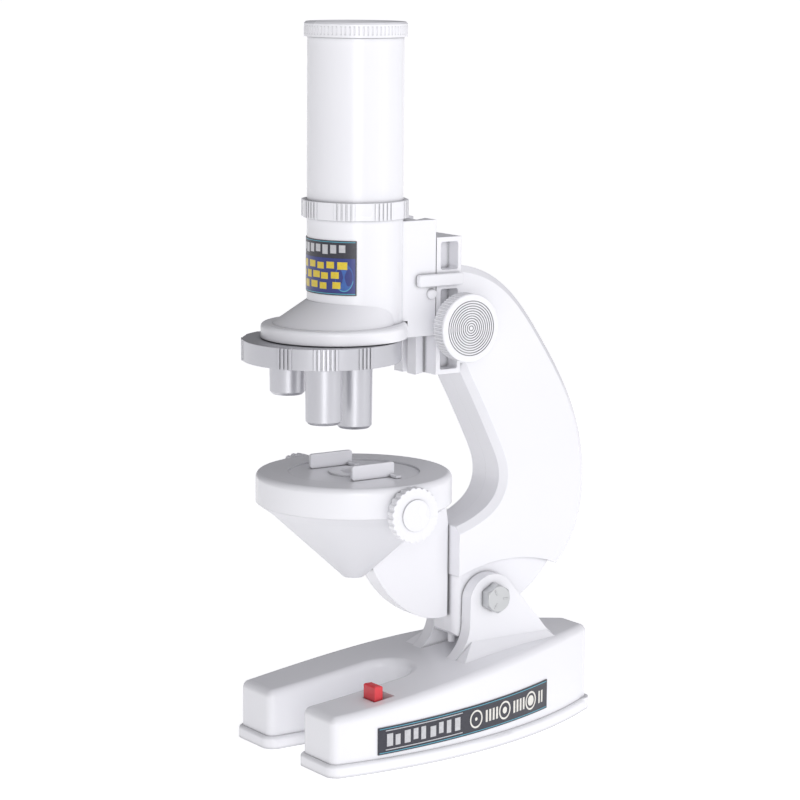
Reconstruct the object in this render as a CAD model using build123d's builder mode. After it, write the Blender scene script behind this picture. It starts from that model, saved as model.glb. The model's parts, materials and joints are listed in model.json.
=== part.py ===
from build123d import *
from math import cos, pi, radians, sin
import os

# A children's compound microscope: horseshoe base, tilting C-arm, rack focus,
# three-lens turret, drum stage with a flip mirror and a lamp.
# Millimetres. Z is up, the eyepiece looks down along Z, the user sits at +Y,
# and the origin lies on the table straight below the tilt hinge.

os.makedirs("parts", exist_ok=True)

# ---------- driving dimensions ----------
TUBE_Y = -46.0          # optical axis, ahead of the hinge
RUN = 0.06              # radial clearance of a running fit
GAP = 0.3               # clearance between faces of different bodies

# base
FLANGE_T = 4.0
WALL_INSET = 1.3
WALL_T = 2.4
LEG_FRONT_Y = -72.6
LEG_CORNER_R = 4.0
TOP_EDGE_R = 2.5
HEEL_Y = 45.0
SLOT_HALF = 8.0
SLOT_END_Y = -35.0
BASE_TOP = ((-76.0, 18.2), (-40.0, 22.2), (-8.0, 26.4), (48.0, 28.4))

# hinge
HINGE_Z = 44.8
EAR_IN = 7.2
EAR_OUT = 12.0
BOLT_R = 2.5
HEX_AF = 8.4
HEAD_T = 3.8

# arm
ARM_HALF = 9.4
ARM_BEVEL = 2.1
LUG_HALF = 6.9
LUG_FRONT_Y = -11.0
ARM_WALL = 2.4
GUIDE_FRONT_Y = -21.5
GUIDE_REAR_Y = -12.0
GUIDE_BOTTOM = 118.9
GUIDE_TOP = 162.4
GUIDE_WINDOW_DEPTH = 5.4

# dovetail rail and its slot, in the plan view
RAIL_FRONT_Y = -26.8
RAIL_TIP = 6.0
RAIL_NECK = 2.9
RACK_HALF = 0.9
RACK_SLOT_HALF = 1.3

# focus drive
MODULE = 0.8
PINION_TEETH = 10
PINION_R = MODULE * PINION_TEETH / 2
PINION_Y = -15.6
PINION_Z = 134.6
PINION_HALF = 2.6
SHAFT_R = 2.0
KNOB_R = 10.8
KNOB_IN = 14.8
KNOB_OUT = 20.2
KNOB_LIP = 0.7
KNOB_FLUTES = 60
KNOB_RINGS = 11
KNOB_RING_PITCH = 0.78
KNOB_GROOVE_W = 0.32
KNOB_GROOVE_T = 0.45

# carriage and lower barrel
BARREL_R = 15.0
BARREL_BORE = 12.6
BARREL_TOP = 169.4
BARREL_LABEL_Z = 146.5
BARREL_LABEL_H = 16.8
BLOCK_BOTTOM = 131.6
BLOCK_TOP = 168.1
BLOCK_REAR_Y = GUIDE_FRONT_Y - GAP
COVER_Y = TUBE_Y - 7.6
COVER_R = 22.9
COVER_BOTTOM = 132.5
COVER_TOP = 136.8

# eyepiece tube
COLLAR_R = 16.7
COLLAR_TOP = 174.9
TUBE_SEAT = BARREL_TOP + 0.15
SPIGOT_R = BARREL_BORE - RUN
SPIGOT_L = 14.0
TUBE_BORE = 12.8
TUBE_TOP = 224.9
CAP_R = 16.0
CAP_TOP = 229.5
NECK_R = 13.4
NECK_TOP = 226.0

# turret
TURRET_Y = TUBE_Y - 12.06
TURRET_R = 24.7
TURRET_RIB = 0.4
TURRET_BOTTOM = 125.6
TURRET_TOP = COVER_BOTTOM - GAP
OBJECTIVE_R = 5.75
OBJECTIVE_RING = 12.06
OBJECTIVE_ENDS = {"long": (90, 103.1), "medium": (-30, 107.4), "short": (210, 113.9)}

# stage
STAGE_R = 31.0
STAGE_TOP = 89.2
STAGE_BOTTOM = 79.8
STAGE_WALL = 2.2
TRAY_R = 20.8
TRAY_DEPTH = 0.6
BOSS_R = 8.0
APERTURE_R = 4.0
CONE_LIP_R = 26.6
CONE_LIP_Z = 76.6
CONE_END_R = 3.3
CONE_END_Z = 55.2
WINDOW_ANGLE = -122.0
WINDOW_Z = 72.2
BRACKET_HALF = 3.65
ARM_FRONT_Y = -11.5
CLIP_X = 12.0
CLIP_LENGTH = 15.6
CLIP_LIFT = 0.15
CLIP_PIN_X = 3.4
CLIP_PIN_Y = 5.9
CLIP_PIN_R = 0.7
STAGE_PLATE_T = 3.4

# mirror drive
MIRROR_Z = 80.8
MIRROR_TILT = 45.0
MIRROR_SHAFT_R = 1.6
STAGE_KNOB_R = 8.6
STAGE_KNOB_IN = 31.7
STAGE_KNOB_OUT = 35.0

# power
CELL_R = 5.25
CELL_L = 44.0
CELL_X = 5.6
CELL_FRONT_Y = -19.5
CELL_Z = 10.0
SWITCH_X = 20.3
SWITCH_Y = -51.8
SWITCH_TRAVEL = 4.0
STOP_MID_Y = -20.9
STOP_Z = 149.2
STOP_L = 16.9
STOP_H = 3.8
PEG_BOTTOM = 28.6
PEG_Y = -7.6
PEG_R = 1.2
PEG_LENGTH = 8.6
SWITCH_TOP = 25.2
SWITCH_W = 6.2
SWITCH_L = 3.0

# lesser parts
DOOR_W = 25.0
DOOR_L = 50.0
DOOR_Y = CELL_FRONT_Y + CELL_L / 2
DOOR_T = 2.0
SCREW_SPOTS = ((18.0, -66.0), (-18.0, -66.0), (24.0, -18.0), (-24.0, -18.0))
LABEL_T = 0.3
ARM_SCREWS = ((33.0, 82.0), (14.0, 130.0), (22.0, 60.0))
GUIDE_H = GUIDE_TOP - GUIDE_BOTTOM
GUIDE_MID_Y = (GUIDE_FRONT_Y + GUIDE_REAR_Y) / 2
ARM_FRONT_WALL = 2.9
STAGE_KNOB_SCALLOPS = 24
RACK_FRONT_Y = RAIL_FRONT_Y - GAP
RACK_PITCH_Y = PINION_Y - PINION_R
RACK_ROOT_Y = RACK_PITCH_Y - 1.2 * MODULE
RACK_BOTTOM = 131.8
RACK_TOP = 151.0
RACK_PITCH = pi * MODULE
COLLAR_RIB_GROUPS = 8
CAP_RIBS = 72


def save(piece, name):
    """Label one finished piece and write it."""
    piece.part.label = name
    export_step(piece.part, f"parts/{name}.step")


def base_plan(inset, z):
    """Horseshoe outline of the base, drawn in from the flange edge."""
    with BuildSketch(Plane.XY.offset(z)) as plan:
        with BuildLine():
            Line((0, LEG_FRONT_Y), (28.6, LEG_FRONT_Y))
            ThreePointArc((28.6, LEG_FRONT_Y), (31.0, -46.0), (29.6, -20.0))
            ThreePointArc((29.6, -20.0), (21.9, 13.0), (8.8, 41.5))
            ThreePointArc((8.8, 41.5), (7.0, 44.1), (4.0, HEEL_Y))
            Line((4.0, HEEL_Y), (0, HEEL_Y))
            mirror(about=Plane.YZ)
        make_face()
        if inset:
            offset(amount=-inset, kind=Kind.INTERSECTION, mode=Mode.REPLACE)
        slot_half = SLOT_HALF + inset
        with Locations((0, SLOT_END_Y - 30)):
            Rectangle(2 * slot_half, 60, mode=Mode.SUBTRACT)
        with Locations((0, SLOT_END_Y)):
            Circle(slot_half, mode=Mode.SUBTRACT)
        leg_corners = plan.vertices().group_by(Axis.Y)[0]
        fillet(leg_corners, max(LEG_CORNER_R - inset, 0.6))
    return plan.sketch


def below_top(drop, reach):
    """Side view of everything under the base's sloping top, lowered by drop."""
    points = [(y, z - drop) for y, z in BASE_TOP]
    with BuildSketch(Plane.YZ.offset(-reach)) as side:
        with BuildLine():
            Spline(*points)
            Line(points[-1], (points[-1][0], -5))
            Line((points[-1][0], -5), (points[0][0], -5))
            Line((points[0][0], -5), points[0])
        make_face()
    return side.sketch


def ear_side(x):
    """Side view of a hinge ear, with its feet flared into the base."""
    with BuildSketch(Plane.YZ.offset(x)) as side:
        with BuildLine():
            ThreePointArc((-16.5, 24.6), (-10.6, 30.0), (-8.8, 38.0))
            Line((-8.8, 38.0), (-8.6, 45.6))
            ThreePointArc((-8.6, 45.6), (-3.4, 51.6), (6.0, 50.2))
            Line((6.0, 50.2), (19.5, 34.8))
            ThreePointArc((19.5, 34.8), (24.0, 30.0), (33.0, 26.0))
            Line((33.0, 26.0), (33.0, 21.0))
            Line((33.0, 21.0), (-16.5, 21.0))
            Line((-16.5, 21.0), (-16.5, 24.6))
        make_face()
    return side.sketch


def hexagon(x):
    """The outline of the bolt's head or nut, standing on one corner."""
    with BuildSketch(Plane.YZ.offset(x)) as outline:
        with Locations((0, HINGE_Z)):
            RegularPolygon(HEX_AF / 2, 6, major_radius=False, rotation=30)
    return outline.sketch


# ---------- base ----------
with BuildPart() as base_cavity:
    extrude(base_plan(WALL_INSET + WALL_T, FLANGE_T), amount=30)
    extrude(below_top(WALL_T, 40), amount=80, mode=Mode.INTERSECT)

with BuildPart() as base_ears:
    for sign in (1, -1):
        extrude(ear_side(sign * EAR_IN), amount=sign * (EAR_OUT - EAR_IN))
        with BuildSketch(Plane.XY.offset(24.0)):
            with Locations((sign * (EAR_IN + 5.6), 7.0)):
                Rectangle(11.2, 46)
        with BuildSketch(Plane.XY.offset(31.0)):
            with Locations((sign * (EAR_IN + 2.4), 7.0)):
                Rectangle(4.8, 30)
        loft()
    extrude(base_plan(WALL_INSET + 1.0, FLANGE_T), amount=60, mode=Mode.INTERSECT)

with BuildPart() as base_shell:
    extrude(base_plan(WALL_INSET, FLANGE_T), amount=30)
    extrude(below_top(0, 40), amount=80, mode=Mode.INTERSECT)
    top_face = base_shell.faces().filter_by(GeomType.EXTRUSION).sort_by(Axis.Z)[-1]
    fillet(top_face.edges(), TOP_EDGE_R)
    add(base_cavity.part, mode=Mode.SUBTRACT)
    add(base_ears.part)
    with BuildSketch(Plane.YZ.offset(-EAR_OUT)):
        with Locations((0, HINGE_Z)):
            Circle(BOLT_R)
    extrude(amount=2 * EAR_OUT, mode=Mode.SUBTRACT)
    with BuildSketch(Plane.XY.offset(10)):
        with Locations((SWITCH_X, SWITCH_Y + SWITCH_TRAVEL / 2)):
            Rectangle(SWITCH_W + 2 * GAP, SWITCH_L + SWITCH_TRAVEL + 2 * GAP)
    extrude(amount=16, mode=Mode.SUBTRACT)
save(base_shell, "base_shell")


with BuildPart() as base_plate:
    extrude(base_plan(0, 0), amount=FLANGE_T)
    flange_edges = base_plate.faces().sort_by(Axis.Z)[-1].edges()
    fillet(flange_edges.filter_by_position(Axis.Y, -100, HEEL_Y - 2.0), 1.2)
    with BuildSketch(Plane.XY):
        with Locations((0, DOOR_Y)):
            Rectangle(DOOR_W, DOOR_L)
    extrude(amount=DOOR_T, mode=Mode.SUBTRACT)
    with BuildSketch(Plane.XY):
        with Locations((0, DOOR_Y)):
            Rectangle(DOOR_W - 3.0, DOOR_L - 3.0)
    extrude(amount=FLANGE_T, mode=Mode.SUBTRACT)
    with Locations(*[(x, y, 0) for x, y in SCREW_SPOTS]):
        Cylinder(2.6, 2.2, align=(Align.CENTER, Align.CENTER, Align.MIN), mode=Mode.SUBTRACT)
        Cylinder(1.3, FLANGE_T, align=(Align.CENTER, Align.CENTER, Align.MIN), mode=Mode.SUBTRACT)
save(base_plate, "base_plate")

for number, (x, y) in enumerate(SCREW_SPOTS, start=1):
    with BuildPart() as base_screw:
        with BuildSketch(Plane.XY.offset(0.8)):
            with Locations((x, y)):
                Circle(2.5)
        extrude(amount=1.4)
        with BuildSketch(Plane.XY.offset(0.8)):
            with Locations((x, y)):
                Rectangle(3.2, 0.6)
                Rectangle(0.6, 3.2)
        extrude(amount=0.6, mode=Mode.SUBTRACT)
        with BuildSketch(Plane.XY.offset(2.2)):
            with Locations((x, y)):
                Circle(1.25)
        extrude(amount=6.0)
    save(base_screw, f"base_screw_{number}")

with BuildPart() as battery_door:
    with BuildSketch(Plane.XY):
        with Locations((0, DOOR_Y)):
            Rectangle(DOOR_W - 0.2, DOOR_L - 0.2)
    extrude(amount=DOOR_T - 0.1)
    with BuildSketch(Plane.XY):
        with Locations((0, DOOR_Y + DOOR_L / 2 - 4.0)):
            Rectangle(8.0, 1.6)
    extrude(amount=0.8, mode=Mode.SUBTRACT)
save(battery_door, "battery_door")

for side, sign in (("right", 1), ("left", -1)):
    with BuildPart() as cell:
        with BuildSketch(Plane.XZ.offset(-CELL_FRONT_Y)):
            with Locations((sign * CELL_X, CELL_Z)):
                Circle(CELL_R)
        extrude(amount=-(CELL_L - 1.0))
        with BuildSketch(Plane.XZ.offset(-(CELL_FRONT_Y + CELL_L - 1.0))):
            with Locations((sign * CELL_X, CELL_Z)):
                Circle(1.9)
        extrude(amount=-1.0)
    save(cell, f"battery_{side}")

for side, y in (("front", CELL_FRONT_Y - 0.5), ("rear", CELL_FRONT_Y + CELL_L)):
    with BuildPart() as contact:
        with BuildSketch(Plane.XZ.offset(-y)):
            with Locations((0, CELL_Z)):
                Rectangle(19.0, 8.0)
        extrude(amount=-0.5)
    save(contact, f"battery_contact_{side}")

with BuildPart() as switch_body:
    with BuildSketch(Plane.XY.offset(9.0)):
        with Locations((SWITCH_X - 0.6, SWITCH_Y + SWITCH_TRAVEL / 2)):
            Rectangle(9.0, 16.0)
    extrude(amount=4.5)
save(switch_body, "switch_body")

with BuildPart() as switch_slider:
    with BuildSketch(Plane.XY.offset(13.5 + GAP)):
        with Locations((SWITCH_X, SWITCH_Y)):
            Rectangle(SWITCH_W, SWITCH_L)
    extrude(amount=SWITCH_TOP - 13.5 - GAP)
    fillet(switch_slider.edges().group_by(Axis.Z)[-1], 0.6)
save(switch_slider, "switch_slider")

with BuildPart() as head_blank:
    with BuildSketch(Plane.YZ.offset(EAR_OUT)):
        with Locations((0, HINGE_Z)):
            Circle(HEX_AF * 0.58)
    extrude(amount=HEAD_T)
    chamfer(head_blank.faces().sort_by(Axis.X)[-1].edges(), 0.75)

with BuildPart() as hinge_bolt:
    extrude(hexagon(EAR_OUT), amount=HEAD_T)
    add(head_blank.part, mode=Mode.INTERSECT)
    with BuildSketch(Plane.YZ.offset(EAR_OUT + HEAD_T)):
        with Locations((0, HINGE_Z)):
            with PolarLocations(2.5, 3):
                Rectangle(1.8, 0.45)
    extrude(amount=0.15)
    with BuildSketch(Plane.YZ.offset(EAR_OUT)):
        with Locations((0, HINGE_Z)):
            Circle(BOLT_R)
    extrude(amount=-(2 * EAR_OUT + 5.5))
save(hinge_bolt, "hinge_bolt")

with BuildPart() as hinge_nut:
    extrude(hexagon(-EAR_OUT), amount=-HEAD_T)
    chamfer(hinge_nut.faces().sort_by(Axis.X)[0].edges(), 0.5)
    with BuildSketch(Plane.YZ.offset(-EAR_OUT)):
        with Locations((0, HINGE_Z)):
            Circle(BOLT_R)
    extrude(amount=-HEAD_T, mode=Mode.SUBTRACT)
save(hinge_nut, "hinge_nut")

with BuildPart() as base_label:
    extrude(base_plan(WALL_INSET - LABEL_T, FLANGE_T), amount=20)
    extrude(base_plan(WALL_INSET, FLANGE_T), amount=20, mode=Mode.SUBTRACT)
    with BuildSketch(Plane.YZ.offset(12.0)):
        with BuildLine():
            Polyline((-56.0, 5.2), (17.2, 6.9), (17.2, 16.5), (-56.0, 13.8), close=True)
        make_face()
    extrude(amount=25, mode=Mode.INTERSECT)
save(base_label, "base_label")


# ---------- arm ----------
def arm_side():
    """Side view of the C-shaped arm."""
    with BuildSketch(Plane.YZ) as side:
        with BuildLine():
            Spline(
                (-13.0, 153.2), (4.8, 146.7), (21.1, 128.0), (35.6, 102.1),
                (39.8, 79.4), (36.5, 61.8), (30.9, 52.9),
            )
            Line((30.9, 52.9), (28.4, 51.8))
            Line((28.4, 51.8), (25.2, 53.4))
            ThreePointArc((25.2, 53.4), (9.0, 56.0), (ARM_FRONT_Y, 52.2))
            Line((ARM_FRONT_Y, 52.2), (ARM_FRONT_Y, 68.4))
            Spline(
                (ARM_FRONT_Y, 68.4), (-3.5, 71.4), (4.0, 77.8), (5.4, 84.6),
                (2.4, 93.6), (-5.5, 109.2), (-12.2, 122.0),
            )
            Line((-12.2, 122.0), (-13.0, 122.0))
            Line((-13.0, 122.0), (-13.0, 153.2))
        make_face()
    return side.sketch


def arm_hollow():
    """Side view of the space inside the arm's shell."""
    with BuildSketch(Plane.YZ) as side:
        with BuildLine():
            Spline(
                (-9.5, 148.6), (4.0, 142.6), (18.4, 126.0), (32.2, 100.6),
                (36.4, 79.6), (33.6, 63.6), (29.6, 57.6),
            )
            Line((29.6, 57.6), (-8.6, 57.6))
            Line((-8.6, 57.6), (-8.6, 66.4))
            Spline(
                (-8.6, 66.4), (-1.5, 68.6), (6.4, 75.8), (8.4, 84.8),
                (5.4, 94.8), (-2.5, 110.6), (-9.5, 124.0),
            )
            Line((-9.5, 124.0), (-9.5, 148.6))
        make_face()
    return side.sketch


def lug_side():
    """Side view of the hinge lug under the arm."""
    with BuildSketch(Plane.YZ) as side:
        with BuildLine():
            Line((LUG_FRONT_Y, 57.0), (LUG_FRONT_Y, 33.0))
            Line((LUG_FRONT_Y, 33.0), (-9.6, 31.8))
            ThreePointArc((-9.6, 31.8), (0.5, 34.4), (9.5, 40.4))
            ThreePointArc((9.5, 40.4), (19.4, 45.8), (26.6, 53.6))
            Line((26.6, 53.6), (26.6, 57.0))
            Line((26.6, 57.0), (LUG_FRONT_Y, 57.0))
        make_face()
    return side.sketch


def rail_plan(sign):
    """Half of the dovetail rail, from above."""
    with BuildSketch(Plane.XY.offset(GUIDE_BOTTOM)) as plan:
        with BuildLine():
            Polyline(
                (sign * RACK_SLOT_HALF, GUIDE_FRONT_Y + 1.0),
                (sign * RACK_SLOT_HALF, RAIL_FRONT_Y),
                (sign * RAIL_TIP, RAIL_FRONT_Y),
                (sign * RAIL_NECK, GUIDE_FRONT_Y),
                (sign * RAIL_NECK, GUIDE_FRONT_Y + 1.0),
                close=True,
            )
        make_face()
    return plan.sketch



lugs = {}
for sign in (1, -1):
    with BuildPart() as lug_half:
        extrude(lug_side(), amount=sign * LUG_HALF)
        outer_edges = lug_half.faces().sort_by(Axis.X)[-1 if sign > 0 else 0].edges()
        fillet(outer_edges.filter_by(Axis.Z).sort_by(Axis.Y)[0], 2.4)
    lugs[sign] = lug_half.part

for side, sign in (("right", 1), ("left", -1)):
    with BuildPart() as arm_half:
        extrude(arm_side(), amount=sign * ARM_HALF)
        outer_face = arm_half.faces().sort_by(Axis.X)[-1 if sign > 0 else 0]
        rims = outer_face.edges().sort_by(SortBy.LENGTH)[-2:]
        chamfer(rims, ARM_BEVEL)
        extrude(arm_hollow(), amount=sign * (ARM_HALF - ARM_WALL), mode=Mode.SUBTRACT)
        add(lugs[sign])
        with BuildSketch(Plane.XY.offset(GUIDE_BOTTOM)):
            with Locations((sign * ARM_HALF / 2, GUIDE_MID_Y)):
                Rectangle(ARM_HALF, GUIDE_REAR_Y - GUIDE_FRONT_Y)
        extrude(amount=GUIDE_H)
        extrude(rail_plan(sign), amount=GUIDE_H)
        for low, high in ((152.0, 160.9), (120.4, 146.0)):
            with BuildSketch(Plane.YZ.offset(sign * ARM_HALF)):
                with Locations((GUIDE_MID_Y + 0.2, (low + high) / 2)):
                    RectangleRounded(6.6, high - low, 0.8)
            extrude(amount=-sign * GUIDE_WINDOW_DEPTH, mode=Mode.SUBTRACT)
        with BuildSketch(Plane.XY.offset(GUIDE_BOTTOM)):
            with Locations((sign * RACK_SLOT_HALF / 2, GUIDE_FRONT_Y)):
                Rectangle(RACK_SLOT_HALF, 8.0)
        extrude(amount=GUIDE_H, mode=Mode.SUBTRACT)
        with BuildSketch(Plane.YZ):
            with Locations((PINION_Y, PINION_Z)):
                Circle(PINION_R + MODULE + 0.4)
        extrude(amount=sign * (PINION_HALF + GAP), mode=Mode.SUBTRACT)
        with BuildSketch(Plane.YZ):
            with Locations((PINION_Y, PINION_Z)):
                Circle(SHAFT_R + RUN)
        extrude(amount=sign * ARM_HALF, mode=Mode.SUBTRACT)
        with BuildSketch(Plane.YZ):
            with Locations((0, HINGE_Z)):
                Circle(BOLT_R + RUN)
        extrude(amount=sign * LUG_HALF, mode=Mode.SUBTRACT)
        with BuildSketch(Plane.XY.offset(PEG_BOTTOM)):
            with Locations((0, PEG_Y)):
                Circle(PEG_R)
        extrude(amount=PEG_LENGTH, mode=Mode.SUBTRACT)
        if sign < 0:
            with BuildSketch(Plane.YZ.offset(-ARM_HALF)):
                with Locations(*ARM_SCREWS):
                    Circle(2.4)
            extrude(amount=1.6, mode=Mode.SUBTRACT)
    save(arm_half, f"arm_{side}")


with BuildPart() as height_stop:
    with BuildSketch(Plane.YZ.offset(ARM_HALF + GAP)):
        with Locations((STOP_MID_Y, STOP_Z)):
            RectangleRounded(STOP_L, STOP_H, 0.9)
    extrude(amount=2.0)
    fillet(height_stop.faces().sort_by(Axis.X)[-1].edges(), 0.5)
    with BuildSketch(Plane.YZ.offset(ARM_HALF)):
        with Locations((GUIDE_MID_Y, STOP_Z)):
            Rectangle(8.0, STOP_H)
    extrude(amount=GAP)
save(height_stop, "height_stop")

for number, (y, z) in enumerate(ARM_SCREWS, start=1):
    with BuildPart() as arm_screw:
        with BuildSketch(Plane.YZ.offset(-ARM_HALF + 0.3)):
            with Locations((y, z)):
                Circle(2.3)
        extrude(amount=1.3)
        with BuildSketch(Plane.YZ.offset(-ARM_HALF + 0.3)):
            with Locations((y, z)):
                Rectangle(2.8, 0.6)
                Rectangle(0.6, 2.8)
        extrude(amount=0.6, mode=Mode.SUBTRACT)
    save(arm_screw, f"arm_screw_{number}")

with BuildPart() as foot_peg:
    with BuildSketch(Plane.XY.offset(PEG_BOTTOM)):
        with Locations((0, PEG_Y)):
            Circle(PEG_R)
    extrude(amount=PEG_LENGTH)
save(foot_peg, "foot_peg")

# ---------- stage ----------
with BuildPart() as stage_disc:
    with BuildSketch(Plane.XZ.offset(-TUBE_Y)):
        with BuildLine():
            Polyline(
                (APERTURE_R, STAGE_TOP),
                (BOSS_R, STAGE_TOP),
                (BOSS_R, STAGE_TOP - TRAY_DEPTH),
                (TRAY_R, STAGE_TOP - TRAY_DEPTH),
                (TRAY_R, STAGE_TOP),
                (STAGE_R, STAGE_TOP),
                (STAGE_R, STAGE_BOTTOM),
                (STAGE_R - STAGE_WALL, STAGE_BOTTOM),
                (STAGE_R - STAGE_WALL, STAGE_TOP - STAGE_PLATE_T),
                (APERTURE_R, STAGE_TOP - STAGE_PLATE_T),
                close=True,
            )
        make_face()
    revolve(axis=Axis((0, TUBE_Y, 0), (0, 0, 1)))
    rim = stage_disc.edges().filter_by(GeomType.CIRCLE).group_by(Axis.Z)[-1].sort_by(SortBy.RADIUS)[-1]
    fillet(rim, 1.8)
    with BuildSketch(Plane.YZ.offset(-STAGE_R)):
        with Locations((TUBE_Y, MIRROR_Z)):
            Circle(MIRROR_SHAFT_R + RUN)
    extrude(amount=2 * STAGE_R, mode=Mode.SUBTRACT)
    with BuildSketch(Plane.XY.offset(STAGE_TOP - STAGE_PLATE_T)):
        with Locations((CLIP_X + CLIP_PIN_X, TUBE_Y + CLIP_PIN_Y)):
            Circle(CLIP_PIN_R + RUN)
        with Locations((-CLIP_X + CLIP_PIN_X, TUBE_Y + CLIP_PIN_Y)):
            Circle(CLIP_PIN_R + RUN)
    extrude(amount=STAGE_PLATE_T, mode=Mode.SUBTRACT)
save(stage_disc, "stage_disc")

with BuildPart() as cone_solid:
    with BuildSketch(Plane.XZ.offset(-TUBE_Y)):
        with BuildLine():
            Polyline(
                (0, STAGE_BOTTOM), (STAGE_R, STAGE_BOTTOM), (CONE_LIP_R, CONE_LIP_Z),
                (CONE_END_R, CONE_END_Z), (0, CONE_END_Z), close=True,
            )
        make_face()
    revolve(axis=Axis((0, TUBE_Y, 0), (0, 0, 1)))

window_x = cos(radians(WINDOW_ANGLE))
window_y = sin(radians(WINDOW_ANGLE))
window_plane = Plane(
    origin=(12.0 * window_x, TUBE_Y + 12.0 * window_y, WINDOW_Z),
    x_dir=(-window_y, window_x, 0),
    z_dir=(window_x, window_y, 0),
)

with BuildPart() as stage_cone:
    add(cone_solid.part)
    with BuildSketch(Plane.XZ.offset(-TUBE_Y)):
        with BuildLine():
            Polyline(
                (0, STAGE_BOTTOM), (STAGE_R - 2.6, STAGE_BOTTOM),
                (CONE_LIP_R - 2.6, CONE_LIP_Z + 0.6), (CONE_END_R, CONE_END_Z + 4.0),
                (0, CONE_END_Z + 4.0), close=True,
            )
        make_face()
    revolve(axis=Axis((0, TUBE_Y, 0), (0, 0, 1)), mode=Mode.SUBTRACT)
    with BuildSketch(window_plane):
        RectangleRounded(9.0, 4.6, 1.0)
    extrude(amount=20, mode=Mode.SUBTRACT)
    with BuildSketch(Plane.YZ.offset(-STAGE_R)):
        with Locations((TUBE_Y, MIRROR_Z)):
            Circle(MIRROR_SHAFT_R + 0.4)
    extrude(amount=2 * STAGE_R, mode=Mode.SUBTRACT)
save(stage_cone, "stage_cone")

with BuildPart() as stage_bracket:
    with BuildSketch(Plane.YZ.offset(-BRACKET_HALF)):
        with BuildLine():
            Line((-46.0, STAGE_BOTTOM), (-13.6, STAGE_BOTTOM))
            Line((-13.6, STAGE_BOTTOM), (ARM_FRONT_Y, 66.6))
            Line((ARM_FRONT_Y, 66.6), (ARM_FRONT_Y, 38.4))
            ThreePointArc((ARM_FRONT_Y, 38.4), (-19.5, 38.6), (-26.6, 41.5))
            ThreePointArc((-26.6, 41.5), (-34.6, 47.9), (-40.8, 57.0))
            Line((-40.8, 57.0), (-46.0, STAGE_BOTTOM))
        make_face()
    extrude(amount=2 * BRACKET_HALF)
    add(cone_solid.part, mode=Mode.SUBTRACT)
    rear_edges = stage_bracket.edges().filter_by(Axis.Z).group_by(Axis.Y)[-1]
    fillet(rear_edges, 0.8)
save(stage_bracket, "stage_bracket")

for number, z in enumerate((59.9, 64.2), start=1):
    with BuildPart() as stage_screw:
        with BuildSketch(Plane.XZ.offset(-ARM_FRONT_Y - ARM_FRONT_WALL)):
            with Locations((0, z)):
                Circle(1.9)
        extrude(amount=-1.4)
    save(stage_screw, f"stage_screw_{number}")

for side, sign in (("right", 1), ("left", -1)):
    clip_floor = STAGE_TOP - TRAY_DEPTH + CLIP_LIFT
    with BuildPart() as stage_clip:
        with BuildSketch(Plane.XY.offset(clip_floor)):
            with Locations((sign * CLIP_X, TUBE_Y - 1.0)):
                Rectangle(1.1, CLIP_LENGTH)
        extrude(amount=4.6)
        fillet(stage_clip.edges().filter_by(Axis.X), 0.8)
        with BuildSketch(Plane.XY.offset(clip_floor)):
            with Locations((sign * CLIP_X + 2.2, TUBE_Y + CLIP_PIN_Y)):
                Rectangle(4.4, 1.9)
        extrude(amount=0.8)
        with BuildSketch(Plane.XY.offset(STAGE_TOP - STAGE_PLATE_T)):
            with Locations((sign * CLIP_X + CLIP_PIN_X, TUBE_Y + CLIP_PIN_Y)):
                Circle(CLIP_PIN_R)
        extrude(amount=STAGE_PLATE_T - TRAY_DEPTH + CLIP_LIFT)
    save(stage_clip, f"stage_clip_{side}")

with BuildPart() as lamp_holder:
    with BuildSketch(Plane.XY.offset(CONE_END_Z + 4.0)):
        with Locations((0, TUBE_Y)):
            Circle(3.2)
    extrude(amount=4.0)
save(lamp_holder, "lamp_holder")

with BuildPart() as lamp_bulb:
    with BuildSketch(Plane.XZ.offset(-TUBE_Y)):
        with BuildLine():
            Polyline(
                (0, CONE_END_Z + 8.0), (2.2, CONE_END_Z + 8.0), (2.2, CONE_END_Z + 12.0),
                (1.5, CONE_END_Z + 13.5), (0.7, CONE_END_Z + 14.0), (0, CONE_END_Z + 14.0),
                close=True,
            )
        make_face()
    revolve(axis=Axis((0, TUBE_Y, 0), (0, 0, 1)))
save(lamp_bulb, "lamp_bulb")

# ---------- mirror drive ----------
with BuildPart() as mirror_shaft:
    with BuildSketch(Plane.YZ.offset(-STAGE_KNOB_IN)):
        with Locations((TUBE_Y, MIRROR_Z)):
            Circle(MIRROR_SHAFT_R)
    extrude(amount=2 * STAGE_KNOB_IN)
    with BuildSketch(Plane.YZ.offset(-9.4)):
        with Locations(Location((TUBE_Y, MIRROR_Z), -MIRROR_TILT)):
            Rectangle(8.8, 2.6)
    extrude(amount=18.8)
    with BuildSketch(Plane.YZ.offset(-8.0)):
        with Locations(Location((TUBE_Y, MIRROR_Z), -MIRROR_TILT)):
            with Locations((0, 0.9)):
                Rectangle(8.0, 0.8)
    extrude(amount=16.0, mode=Mode.SUBTRACT)
save(mirror_shaft, "mirror_shaft")

with BuildPart() as mirror_glass:
    with BuildSketch(Plane.YZ.offset(-8.0)):
        with Locations(Location((TUBE_Y, MIRROR_Z), -MIRROR_TILT)):
            with Locations((0, 0.9)):
                Rectangle(8.0, 0.8)
    extrude(amount=16.0)
save(mirror_glass, "mirror_glass")

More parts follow.
